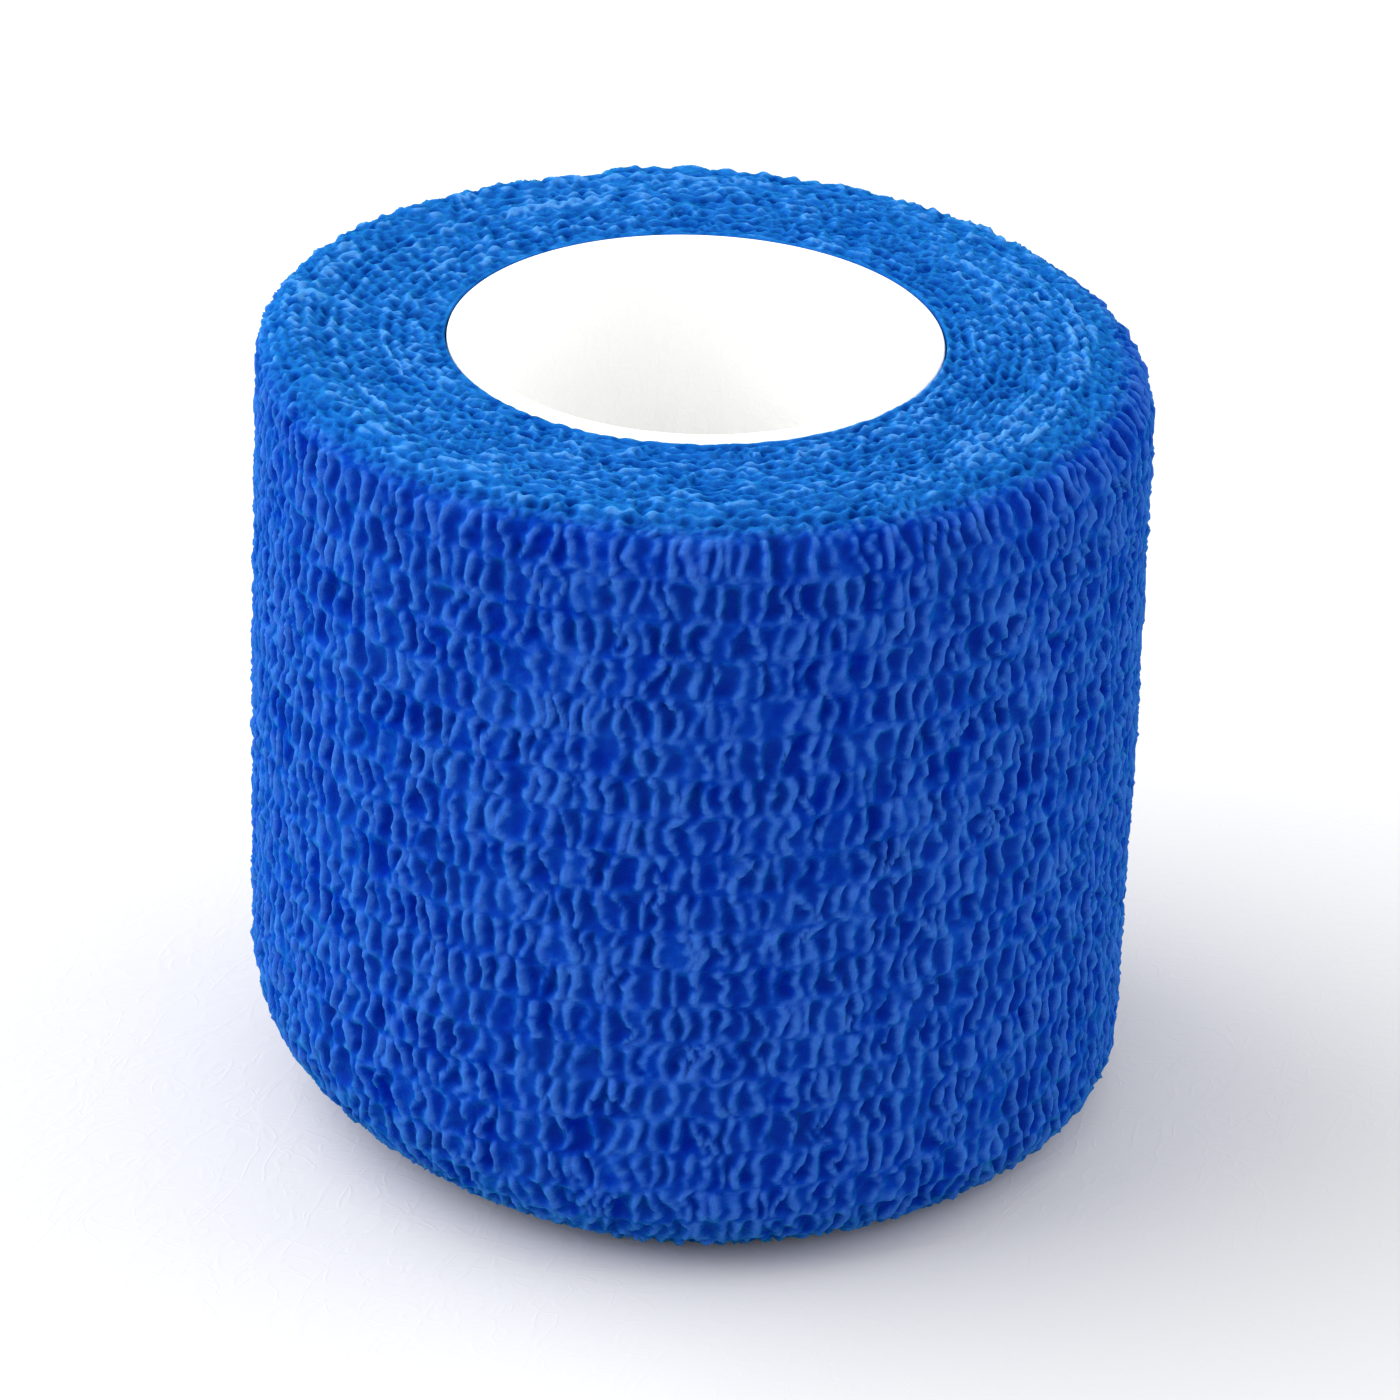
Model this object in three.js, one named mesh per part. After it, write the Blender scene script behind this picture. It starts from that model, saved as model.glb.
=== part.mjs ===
// A cohesive bandage roll standing on one end: an elastic crinkled strip, wound many turns deep on a thin
// white tube. Millimetres, +Z up, with the origin on the floor under the middle of the roll.
import * as THREE from "three";
import { mergeVertices } from "three/addons/utils/BufferGeometryUtils.js";

// The strip and the roll it makes
const STRIP_WIDTH = 50; // the strip's cut width, which is the roll's height at its bore
const ROLL_RADIUS = 27; // outer radius, the mean of all azimuths
const BORE_RADIUS = 15.1; // inner radius of the first turn
const TURN_THICKNESS = 0.8; // how far each turn lies outside the last
const BARREL = 0.2; // how far the wall swells at half its height
const RISE_POWER = 2; // the end face lifts towards its rim by this power of the way out

// The strip's outer end, a low step down the back of the wall
const END_AZIMUTH = 105; // degrees from +X
const END_SLOPE = 1.5; // degrees that the step takes

// Rows of the crinkled wall: a raised line over each elastic thread, and a sunken band between two
const ROW_COUNT = 22;
const ROW_RELIEF = 0.35;

// The turns' cut edges on the top, one spiral of ridges and grooves. Places along it are counted in turns.
const TURNS_ON_TOP = 12; // from the bore to the rim, at the strip's outer end
const EDGE_RELIEF = 0.35;
const FIRST_GROOVE = 0.25;
const GROOVE_STEPS = 23; // grooves and the ridges between them, half a turn apart

// The white tube inside
const PIECE_GAP = 0.35;
const CORE_WALL = 1.2;
const CORE_CHAMFER = 0.25;
const CORE_SEGMENTS = 48;
const BORE_OFFSET = -0.5; // the tube's axis along X from the middle of the wall

const COLUMNS = 48; // columns of points round the roll

// How the roll departs from a true cylinder, every 45 degrees from +X. radius is added to the wall, rise
// lifts the rim of the top, and the two rounds are the radii of the wall's top and bottom rims.
const UNEVEN = [
  { radius: -0.1, rise: -0.75, topRound: 3.6, bottomRound: 4.2 },
  { radius: 0.35, rise: -0.8, topRound: 3.0, bottomRound: 5.4 },
  { radius: 0.1, rise: -0.35, topRound: 2.1, bottomRound: 6.8 },
  { radius: -0.3, rise: 0.25, topRound: 1.6, bottomRound: 8.6 },
  { radius: -0.1, rise: 0.75, topRound: 1.7, bottomRound: 9.6 },
  { radius: 0.3, rise: 0.7, topRound: 2.4, bottomRound: 9.8 },
  { radius: 0.1, rise: 0.3, topRound: 3.2, bottomRound: 6.6 },
  { radius: -0.3, rise: -0.3, topRound: 3.7, bottomRound: 5.6 },
];

const BLUE = new THREE.Color("#1a55b8");
const WHITE = new THREE.Color("#f2f2f0");

// The value of one column of UNEVEN at an azimuth in degrees, smoothly from row to row.
function around(column, azimuth) {
  const count = UNEVEN.length;
  const place = THREE.MathUtils.euclideanModulo(azimuth, 360) / (360 / count);
  const row = Math.floor(place);
  const t = place - row;
  const [before, here, next, after] = [-1, 0, 1, 2].map((step) => UNEVEN[(row + step + count) % count][column]);
  const slope = (next - before) / 2;
  const nextSlope = (after - here) / 2;
  const square = 3 * (next - here) - 2 * slope - nextSlope;
  const cube = 2 * (here - next) + slope + nextSlope;
  return here + slope * t + square * t * t + cube * t * t * t;
}

// The azimuth in degrees of each column, and how much of the outermost turn lies before it. The narrow gap from
// the last column on to the first holds the strip's outer end.
function columnPlace(column) {
  const turn = column / (COLUMNS - 1);
  return { azimuth: END_AZIMUTH + turn * (360 - END_SLOPE), turn };
}

// A point on the wall at one column, from its bottom rim (share 0) over both rounds to its top rim (share 1).
// It gives the radius and height, and the way out of the wall there.
function wallPoint(share, { azimuth, turn }) {
  const radius = ROLL_RADIUS + around("radius", azimuth) + TURN_THICKNESS * (turn - 0.5);
  const top = STRIP_WIDTH + around("rise", azimuth);
  const topRound = around("topRound", azimuth);
  const bottomRound = around("bottomRound", azimuth);
  const bottomArc = (bottomRound * Math.PI) / 2;
  const topArc = (topRound * Math.PI) / 2;
  const straight = top - topRound - bottomRound;
  const along = share * (bottomArc + straight + topArc);
  let r = radius;
  let z = bottomRound + along - bottomArc;
  let tilt = 0;
  if (along < bottomArc) {
    tilt = along / bottomRound - Math.PI / 2;
    r = radius - bottomRound * (1 - Math.cos(tilt));
    z = bottomRound * (1 + Math.sin(tilt));
  } else if (along > bottomArc + straight) {
    tilt = (along - bottomArc - straight) / topRound;
    r = radius - topRound * (1 - Math.cos(tilt));
    z = top - topRound * (1 - Math.sin(tilt));
  }
  r += BARREL * Math.sin((Math.PI * z) / top);
  return { r, z, outR: Math.cos(tilt), outZ: Math.sin(tilt) };
}

// The wall, with its thread lines raised out of the sunken bands. The two rims stay where they are.
function wallStation(step) {
  const steps = 2 * ROW_COUNT;
  const sunk = step % 2 === 1 ? ROW_RELIEF : 0;
  return (place) => {
    const { r, z, outR, outZ } = wallPoint(step / steps, place);
    return [r - sunk * outR, Math.max(z - sunk * outZ, 0)];
  };
}

// How many turns out from the bore a step of the top's spiral lies, once part of a turn has been wound.
function turnsOut(step, turn) {
  return step / 2 + turn + FIRST_GROOVE;
}

// The top, with a groove at each even step and the cut edge of a turn at each odd one. Both wind outwards.
function topStation(step) {
  return (place) => {
    const rim = wallPoint(1, place);
    const share = turnsOut(step, place.turn) / (TURNS_ON_TOP + place.turn);
    const lift = (rim.z - STRIP_WIDTH) * share ** RISE_POWER;
    const sunk = step % 2 === 0 ? EDGE_RELIEF : 0;
    return [THREE.MathUtils.lerp(BORE_RADIUS, rim.r, share), STRIP_WIDTH + lift - sunk];
  };
}

// Every station of the section in turn, as a function from a column's place to a radius and a height: up the
// wall, inwards over the top, down the bore, and outwards under the bottom to the first station.
function sectionStations() {
  const wall = Array.from({ length: 2 * ROW_COUNT + 1 }, (_, step) => wallStation(step));
  const top = Array.from({ length: GROOVE_STEPS }, (_, step) => topStation(step)).reverse();
  const bore = [STRIP_WIDTH, 0].map((height) => () => [BORE_RADIUS, height]);
  return [...wall, ...top, ...bore, wall[0]];
}

// Where the spiral of the top passes the strip's outer end, a groove of the last column runs on into the next
// groove out of the first one. This gives the triangles between those two columns, from the rim to the bore.
function stitchSpiral(rimRow, columnStart) {
  const [last, first] = [1, 0].map((turn, side) => {
    const steps = Array.from({ length: GROOVE_STEPS }, (_, step) => turnsOut(step, turn)).reverse();
    const turns = [TURNS_ON_TOP + turn, ...steps, 0];
    return turns.map((out, row) => ({ out, point: columnStart[side] + rimRow + row }));
  });
  const triangles = [];
  while (last.length > 1 || first.length > 1) {
    const alongLast = first.length === 1 || (last.length > 1 && last[1].out >= first[1].out);
    const grown = alongLast ? last : first;
    triangles.push(last[0].point, first[0].point, grown[1].point);
    grown.shift();
  }
  return triangles;
}

// The wound strip. A lathe joins the points in rings, and each point is then set where its column has it.
// The bore's points keep to the tube's axis, and points further out come over to the wall's.
function woundStrip() {
  const stations = sectionStations();
  const profile = stations.map((station) => new THREE.Vector2(...station(columnPlace(0))));
  const geometry = new THREE.LatheGeometry(profile, COLUMNS);
  const points = geometry.getAttribute("position");
  for (let column = 0; column <= COLUMNS; column += 1) {
    const place = columnPlace(column % COLUMNS);
    const turned = THREE.MathUtils.degToRad(place.azimuth);
    stations.forEach((station, row) => {
      const [r, z] = station(place);
      const inward = 1 - (r - BORE_RADIUS) / (ROLL_RADIUS - BORE_RADIUS);
      const x = r * Math.cos(turned) + BORE_OFFSET * THREE.MathUtils.clamp(inward, 0, 1);
      points.setXYZ(column * stations.length + row, x, r * Math.sin(turned), z);
    });
  }
  const rimRow = 2 * ROW_COUNT;
  const quads = stations.length - 1;
  const lastSegment = 6 * quads * (COLUMNS - 1);
  const index = Array.from(geometry.index.array);
  const spiral = stitchSpiral(rimRow, [(COLUMNS - 1) * stations.length, COLUMNS * stations.length]);
  index.splice(lastSegment + 6 * rimRow, 6 * (GROOVE_STEPS + 1), ...spiral);
  geometry.setIndex(index);
  geometry.deleteAttribute("normal");
  geometry.deleteAttribute("uv");
  return mergeVertices(geometry);
}

// The tube that the strip is wound on, with its four edges broken.
function coreTube() {
  const outer = BORE_RADIUS - PIECE_GAP;
  const inner = outer - CORE_WALL;
  const profile = [
    [outer - CORE_CHAMFER, 0],
    [outer, CORE_CHAMFER],
    [outer, STRIP_WIDTH - CORE_CHAMFER],
    [outer - CORE_CHAMFER, STRIP_WIDTH],
    [inner + CORE_CHAMFER, STRIP_WIDTH],
    [inner, STRIP_WIDTH - CORE_CHAMFER],
    [inner, CORE_CHAMFER],
    [inner + CORE_CHAMFER, 0],
    [outer - CORE_CHAMFER, 0],
  ].map(([r, z]) => new THREE.Vector2(r, z));
  const geometry = new THREE.LatheGeometry(profile, CORE_SEGMENTS);
  geometry.rotateX(Math.PI / 2);
  geometry.translate(BORE_OFFSET, 0, 0);
  return geometry;
}

const bandage = new THREE.Mesh(
  woundStrip(),
  new THREE.MeshStandardMaterial({ color: BLUE, roughness: 0.9, metalness: 0 }),
);
bandage.name = "bandage";

const core = new THREE.Mesh(
  coreTube(),
  new THREE.MeshStandardMaterial({ color: WHITE, roughness: 0.55, metalness: 0 }),
);
core.name = "core";

// The middle of the strip's own box comes over the origin, and the tube moves with it.
const roll = new THREE.Group();
roll.add(bandage, core);
const middle = new THREE.Box3().setFromObject(bandage).getCenter(new THREE.Vector3());
roll.position.set(-middle.x, -middle.y, 0);

const part = new THREE.Group();
part.add(roll);

export default part;
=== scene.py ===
"""A cohesive bandage roll on its CAD frame: the crinkled outer turn, the cut edges and the tube."""

import logging
import math
from dataclasses import dataclass
from enum import Enum
from typing import Any

import bmesh
import bpy
import numpy as np
from mathutils import Matrix, Vector


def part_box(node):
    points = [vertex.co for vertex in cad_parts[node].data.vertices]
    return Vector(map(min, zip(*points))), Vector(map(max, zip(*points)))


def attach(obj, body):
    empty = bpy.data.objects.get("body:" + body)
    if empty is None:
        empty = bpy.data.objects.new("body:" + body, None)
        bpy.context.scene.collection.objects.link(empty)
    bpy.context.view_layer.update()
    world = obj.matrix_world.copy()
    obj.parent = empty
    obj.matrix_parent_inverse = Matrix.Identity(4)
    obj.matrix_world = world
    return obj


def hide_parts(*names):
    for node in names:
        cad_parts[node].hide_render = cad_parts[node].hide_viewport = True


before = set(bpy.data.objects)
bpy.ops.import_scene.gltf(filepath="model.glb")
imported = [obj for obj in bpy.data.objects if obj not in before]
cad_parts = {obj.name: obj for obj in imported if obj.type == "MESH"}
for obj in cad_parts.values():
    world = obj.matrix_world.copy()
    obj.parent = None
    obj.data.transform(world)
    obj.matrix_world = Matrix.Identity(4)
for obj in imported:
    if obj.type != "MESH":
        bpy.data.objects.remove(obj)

LOG = logging.getLogger("bandage_roll")
MM = 0.001
ROOT_BODY = "root"
RELIEF = "relief"
WELD = 0.0001 * MM
REST_GAP = 0.02 * MM
WHOLE = (0.0, 1.0)
Colour = tuple[float, float, float, float]
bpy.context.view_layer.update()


class Slot(Enum):
    """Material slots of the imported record."""

    CLOTH = "bandage_cloth"
    CORE = "core_tube"


def smooth_step(low: float, high: float, value: np.ndarray) -> np.ndarray:
    """Rise smoothly from 0 at low to 1 at high.

    Args:
        low: Where the rise starts.
        high: Where it ends.
        value: The values to look up.

    Returns:
        One share for each value.
    """
    share = np.clip((value - low) / (high - low), 0.0, 1.0)
    return share * share * (3.0 - 2.0 * share)


@dataclass(frozen=True)
class ValueNoise:
    """Smooth random values over a plane, from a seeded lattice.

    Attributes:
        seed: Picks the lattice.
        cell_u: Lattice spacing along the first axis, in metres.
        cell_v: Lattice spacing along the second axis, in metres.
        size: Spacings after which the values repeat.
    """

    seed: int
    cell_u: float
    cell_v: float
    size: int = 1024

    def at(self, u: np.ndarray, v: np.ndarray) -> np.ndarray:
        """Look the noise up.

        Args:
            u: Places along the first axis, in metres.
            v: Places along the second axis, in metres.

        Returns:
            Values from -1 to 1.
        """
        lattice = np.random.default_rng(self.seed).uniform(-1.0, 1.0, (self.size, self.size))
        x, y = np.asarray(u) / self.cell_u, np.asarray(v) / self.cell_v
        i, j = np.floor(x).astype(int), np.floor(y).astype(int)
        s, t = x - i, y - j
        s, t = s * s * (3 - 2 * s), t * t * (3 - 2 * t)
        i0, i1 = i % self.size, (i + 1) % self.size
        j0, j1 = j % self.size, (j + 1) % self.size
        low = lattice[i0, j0] * (1 - s) + lattice[i1, j0] * s
        high = lattice[i0, j1] * (1 - s) + lattice[i1, j1] * s
        return low * (1 - t) + high * t


@dataclass(frozen=True)
class Ripple:
    """One layer of unevenness in a pattern.

    Attributes:
        step: Added to the pattern's seed.
        mean: Its mean value.
        reach: How far its values go to each side of the mean.
        cell_u: Lattice spacing along the strip, in millimetres.
        cell_v: Lattice spacing across the strip, in millimetres.
    """

    step: int
    mean: float
    reach: float
    cell_u: float
    cell_v: float = 1.0

    def at(self, seed: int, u: np.ndarray, v: np.ndarray | float = 0.0) -> np.ndarray:
        """Look the layer up.

        Args:
            seed: The pattern's seed.
            u: Along the strip, in metres.
            v: Across the strip, in metres, for a layer that changes that way too.

        Returns:
            One value for each place.
        """
        noise = ValueNoise(seed + self.step, self.cell_u * MM, self.cell_v * MM)
        return self.mean + self.reach * noise.at(u, v)


def piled(ripples: tuple[Ripple, ...], seed: int, u: np.ndarray, v: np.ndarray | float = 0.0) -> np.ndarray:
    """Add several layers of unevenness up.

    Args:
        ripples: The layers.
        seed: The pattern's seed.
        u: Along the strip, in metres.
        v: Across the strip, in metres.

    Returns:
        Their sum at each place.
    """
    return sum(ripple.at(seed, u, v) for ripple in ripples)


@dataclass(frozen=True)
class Scatter:
    """Random sizes about a mean.

    Attributes:
        mean: Their mean.
        spread: How far they commonly stray from it.
        least: The smallest that is kept.
        most: The largest that is kept.
    """

    mean: float
    spread: float
    least: float
    most: float

    def draw(self, rng: np.random.Generator, shape: tuple[int, int]) -> np.ndarray:
        """Draw sizes in rows and columns."""
        return np.clip(rng.normal(self.mean, self.spread, shape), self.least, self.most)


@dataclass(frozen=True)
class UnevenRow:
    """How the roll departs from a true cylinder at one azimuth, in metres.

    Attributes:
        radius: Added to the wall's radius.
        rise: How far the top's rim is lifted.
        top_round: Radius of the wall's top rim.
        bottom_round: Radius of the wall's bottom rim.
    """

    radius: float
    rise: float
    top_round: float
    bottom_round: float


@dataclass(frozen=True)
class RollForm:
    """The wound form of the CAD solid, worked out again from its own named sizes.

    Attributes:
        strip_width: Width of the strip, which is the roll's height at its bore.
        roll_radius: Mean radius of the wall.
        bore_radius: Radius of the hole in the cloth.
        turn_thickness: Thickness of one turn, which is the step at the strip's end.
        barrel: How far the wall swells at half its height.
        rise_power: Power of the way out from the bore by which the top rises.
        end_azimuth: Where the strip ends, in degrees from +X.
        end_slope: Width of the step there, in degrees.
        turns_on_top: Turns between the bore and the rim.
        row_count: Rows of cells between the strip's elastic threads.
        core_wall: Thickness of the tube.
        core_gap: Room between the tube and the cloth.
        bore_offset: How far the bore's axis stands off the wall's along X.
        uneven: How the wall departs from a cylinder, in rows at equal steps of azimuth from +X.
    """

    strip_width: float = 50 * MM
    roll_radius: float = 27 * MM
    bore_radius: float = 15.1 * MM
    turn_thickness: float = 0.8 * MM
    barrel: float = 0.2 * MM
    rise_power: float = 2.0
    end_azimuth: float = 105.0
    end_slope: float = 1.5
    turns_on_top: float = 12.0
    row_count: int = 22
    core_wall: float = 1.2 * MM
    core_gap: float = 0.35 * MM
    bore_offset: float = -0.5 * MM
    uneven: tuple[UnevenRow, ...] = (
        UnevenRow(-0.1 * MM, -0.75 * MM, 3.6 * MM, 4.2 * MM),
        UnevenRow(0.35 * MM, -0.8 * MM, 3.0 * MM, 5.4 * MM),
        UnevenRow(0.1 * MM, -0.35 * MM, 2.1 * MM, 6.8 * MM),
        UnevenRow(-0.3 * MM, 0.25 * MM, 1.6 * MM, 8.6 * MM),
        UnevenRow(-0.1 * MM, 0.75 * MM, 1.7 * MM, 9.6 * MM),
        UnevenRow(0.3 * MM, 0.7 * MM, 2.4 * MM, 9.8 * MM),
        UnevenRow(0.1 * MM, 0.3 * MM, 3.2 * MM, 6.6 * MM),
        UnevenRow(-0.3 * MM, -0.3 * MM, 3.7 * MM, 5.6 * MM),
    )

    def around(self, column: str, azimuth: np.ndarray) -> np.ndarray:
        """Read one column of the uneven table, smoothly from row to row.

        Args:
            column: The column's name.
            azimuth: Degrees from +X.

        Returns:
            The column's values there.
        """
        values = np.array([getattr(row, column) for row in self.uneven])
        count = len(values)
        place = np.mod(azimuth, 360.0) / (360.0 / count)
        row = np.floor(place).astype(int)
        t = place - row
        before, here, after, later = (values[(row + step) % count] for step in (-1, 0, 1, 2))
        slope, next_slope = (after - before) / 2, (later - here) / 2
        square = 3 * (after - here) - 2 * slope - next_slope
        cube = 2 * (here - after) + slope + next_slope
        return here + slope * t + square * t**2 + cube * t**3

    def azimuth_at(self, wound: np.ndarray) -> np.ndarray:
        """Give the azimuth in degrees once a share of a full circle has been wound."""
        return self.end_azimuth + 360.0 * wound

    def turn_at(self, wound: np.ndarray) -> np.ndarray:
        """Give the share of the outermost turn wound by then, which falls back to 0 down the strip's end."""
        end = self.end_slope / 360.0
        return np.where(wound <= 1 - end, wound / (1 - end), (1 - wound) / end)

    def section(self, share: np.ndarray, azimuth: np.ndarray, turn: np.ndarray) -> tuple[np.ndarray, ...]:
        """Follow the wall's section from its bottom rim to its top rim.

        Args:
            share: 0 at the bottom rim to 1 at the top rim.
            azimuth: Degrees from +X.
            turn: How much of the outermost turn has been wound.

        Returns:
            Radius, height, and the way out of the wall as its radial and upward parts.
        """
        radius = self.roll_radius + self.around("radius", azimuth) + self.turn_thickness * (turn - 0.5)
        top = self.strip_width + self.around("rise", azimuth)
        top_round = self.around("top_round", azimuth)
        bottom_round = self.around("bottom_round", azimuth)
        bottom_arc, top_arc = bottom_round * math.pi / 2, top_round * math.pi / 2
        straight = top - top_round - bottom_round
        along = share * (bottom_arc + straight + top_arc)
        low = np.minimum(along / bottom_round - math.pi / 2, 0.0)
        high = np.maximum((along - bottom_arc - straight) / top_round, 0.0)
        middle = np.clip(along - bottom_arc, 0.0, straight) + bottom_round
        r = radius - bottom_round * (1 - np.cos(low)) - top_round * (1 - np.cos(high))
        z = middle + bottom_round * np.sin(low) + top_round * np.sin(high)
        r = r + self.barrel * np.sin(math.pi * z / top)
        return r, z, np.cos(low + high), np.sin(low + high)

    def wall(self, share: np.ndarray, wound: np.ndarray) -> tuple[np.ndarray, ...]:
        """Follow the wall's section as section does, at shares of a full circle from the strip's end."""
        return self.section(share, self.azimuth_at(wound), self.turn_at(wound))

    def arc(self, wound: np.ndarray) -> np.ndarray:
        """Measure the wall's section from rim to rim.

        Args:
            wound: Share of a full circle from the strip's end.

        Returns:
            Its length in metres.
        """
        azimuth = self.azimuth_at(wound)
        rounds = self.around("top_round", azimuth) + self.around("bottom_round", azimuth)
        return self.strip_width + self.around("rise", azimuth) + rounds * (math.pi / 2 - 1)

    def turns_at(self, r: np.ndarray, wound: np.ndarray, upper: bool) -> np.ndarray:
        """Count the turns from the bore out to a radius on an end face.

        Args:
            r: Radius from the wall's axis.
            wound: Share of a full circle from the strip's end.
            upper: True for the top, False for the bottom.

        Returns:
            Turns with their fraction.
        """
        rim = np.full_like(wound, 1.0 if upper else 0.0)
        spiral_r, _, _, _ = self.section(rim, self.azimuth_at(wound), wound)
        return (r - self.bore_radius) / (spiral_r - self.bore_radius) * (self.turns_on_top + wound)

    def place(self, r: np.ndarray, azimuth: np.ndarray, z: np.ndarray) -> np.ndarray:
        """Turn a radius, azimuth and height into points in the frame.

        Args:
            r: Radius from the wall's axis.
            azimuth: Degrees from +X.
            z: Height.

        Returns:
            An array of points, one row each.
        """
        low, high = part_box("core")
        middle = (low + high) / 2
        turned = np.radians(azimuth)
        inward = np.clip(1 - (r - self.bore_radius) / (self.roll_radius - self.bore_radius), 0.0, 1.0)
        x = r * np.cos(turned) + self.bore_offset * (inward - 1) + middle.x
        y = r * np.sin(turned) + middle.y
        return np.stack(np.broadcast_arrays(x, y, z), axis=-1)


@dataclass(frozen=True)
class Folds:
    """The upright folds of every row of cells: a row for each row of cells, a column for each fold.

    Attributes:
        along: Place along the strip, in metres.
        lean: How far the fold leans, in metres.
        bend: How far its middle is pushed aside, in metres.
        curl: How far its halves are pushed apart, in metres.
        width: Its half width, in metres.
        strength: Its height, as a share of the full one.
        pit: Depth of the cell after it, as a share of the full one.
        middle: Share of the bend that is taken back, so that a bent fold stays about its place.
    """

    along: np.ndarray
    lean: np.ndarray
    bend: np.ndarray
    curl: np.ndarray
    width: np.ndarray
    strength: np.ndarray
    pit: np.ndarray
    middle: float = 0.6

    def centre(self, row: np.ndarray, fold: np.ndarray, t: np.ndarray) -> tuple[np.ndarray, np.ndarray]:
        """Follow folds across the strip.

        Args:
            row: The row of cells.
            fold: The fold's number in its row.
            t: 0 at the row's lower thread to 1 at its upper one.

        Returns:
            The fold's place along the strip there, and how fast that changes with t.
        """
        lean, bend, curl = self.lean[row, fold], self.bend[row, fold], self.curl[row, fold]
        half_turn, full_turn = math.pi * t, 2 * math.pi * t
        place = self.along[row, fold] + lean * (2 * t - 1) + bend * (np.sin(half_turn) - self.middle)
        place = place + curl * np.sin(full_turn)
        rate = 2 * lean + bend * math.pi * np.cos(half_turn) + curl * 2 * math.pi * np.cos(full_turn)
        return place, rate


@dataclass(frozen=True)
class Puckers:
    """The crinkle of the strip: thin wavy upright folds in rows, with sunken oval cells between them.

    Attributes:
        length: How much strip is crinkled, in metres along it.
        row_pitch: Distance between two elastic threads.
        row_count: Rows of cells across the strip.
        fold_pitch: Mean distance along the strip between two folds.
        distances: Distances between two folds, as shares of the mean one.
        wander: How far a fold leans, bends and curls, in metres.
        wandering: How much of that each fold does.
        width: Thinnest and thickest half width of a fold.
        strengths: Heights of the folds, as shares of the crest.
        shoulder: Half width of the cloth that carries a fold, in half widths of the fold.
        steepest: Slope past which a leaning fold gets no thinner.
        crest: Height of a fold over the cloth that carries it.
        depth: How deep a cell lies under that cloth.
        depths: Depths of the cells, as shares of that.
        filled: Share of the cells that lie almost flush, and what is left of their depth.
        web: Height over a thread, as a share of a fold's, and half width of the cloth there.
        overrun: Where a fold starts and where it is full, in rows inwards from its thread.
        trail: How far past its thread a fold keeps its course, in rows.
        blur: How far the cells of two rows run into each other, in rows.
        bridged: How much of a cell is bridged at most, and the values of bridge over which that comes.
        stir: How far the pattern is stirred along and across the strip, in metres.
        calm: How strongly it is stirred from place to place.
        swirls: How it is stirred along the strip.
        sags: How it is stirred across the strip.
        swell: How high the folds stand from place to place.
        web_swell: How high the cloth stands over the threads.
        bridge: Where cells are bridged.
        dimples: Small unevenness of all the cloth, in metres.
        flush: Colour share of the cloth between the pits and the folds.
        painted_pit_shade: How fast that share falls towards a pit's floor, which paints shade into the pits.
        painted_fold_highlight: Power by which it rises to a fold's crest, which paints a highlight along the
            folds.
        speckle: Small unevenness of the colour share.
        seed: Picks the pattern.
    """

    length: float
    row_pitch: float
    row_count: int
    fold_pitch: float = 1.14 * MM
    distances: Scatter = Scatter(1.0, 0.25, 0.6, 1.8)
    wander: tuple[float, float, float] = (0.12 * MM, 0.2 * MM, 0.14 * MM)
    wandering: Scatter = Scatter(0.0, 1.0, -2.0, 2.0)
    width: tuple[float, float] = (0.22 * MM, 0.37 * MM)
    strengths: Scatter = Scatter(0.9, 0.2, 0.3, 1.15)
    shoulder: float = 1.45
    steepest: float = 1.2
    crest: float = 0.2 * MM
    depth: float = 0.52 * MM
    depths: Scatter = Scatter(0.85, 0.25, 0.3, 1.2)
    filled: tuple[float, float] = (0.06, 0.25)
    web: tuple[float, float] = (0.25, 0.42 * MM)
    overrun: tuple[float, float] = (-0.12, 0.14)
    trail: float = 0.15
    blur: float = 0.08
    bridged: tuple[float, float, float] = (0.4, 0.25, 0.8)
    stir: tuple[float, float] = (0.4 * MM, 0.2 * MM)
    calm: Ripple = Ripple(1, 0.75, 0.25, 7, 5)
    swirls: tuple[Ripple, ...] = (Ripple(2, 0, 1, 2.6, 0.75), Ripple(3, 0, 0.5, 0.9, 0.5))
    sags: tuple[Ripple, ...] = (Ripple(4, 0, 1, 1.5, 2.2), Ripple(9, 0, 0.5, 5, 4))
    swell: Ripple = Ripple(5, 1, 0.5, 0.6, 0.45)
    web_swell: Ripple = Ripple(7, 0.8, 0.5, 1.3, 2.5)
    bridge: Ripple = Ripple(11, 0, 1, 1.1, 0.45)
    dimples: tuple[Ripple, ...] = (Ripple(8, 0, 0.12 * MM, 0.7, 0.6), Ripple(6, 0, 0.045 * MM, 0.34, 0.3))
    flush: float = 0.42
    painted_pit_shade: float = 1.5
    painted_fold_highlight: float = 1.3
    speckle: Ripple = Ripple(10, 0, 0.25, 0.45, 0.38)
    seed: int = 5

    def folds(self) -> Folds:
        """Scatter the folds of every row.

        Returns:
            The folds.
        """
        rng = np.random.default_rng(self.seed)
        shape = (self.row_count, int(self.length / self.fold_pitch))
        along = np.cumsum(self.distances.draw(rng, shape), axis=1)
        along = along / along[:, -1:] * (self.length + self.fold_pitch)
        along = along - rng.uniform(0, self.fold_pitch, (self.row_count, 1))
        lean, bend, curl = (reach * self.wandering.draw(rng, shape) for reach in self.wander)
        filled_share, depth_left = self.filled
        pit = self.depths.draw(rng, shape)
        pit = pit * np.where(rng.uniform(0, 1, shape) < filled_share, depth_left, 1.0)
        strength = self.strengths.draw(rng, shape)
        return Folds(along, lean, bend, curl, rng.uniform(*self.width, shape), strength, pit)

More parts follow.
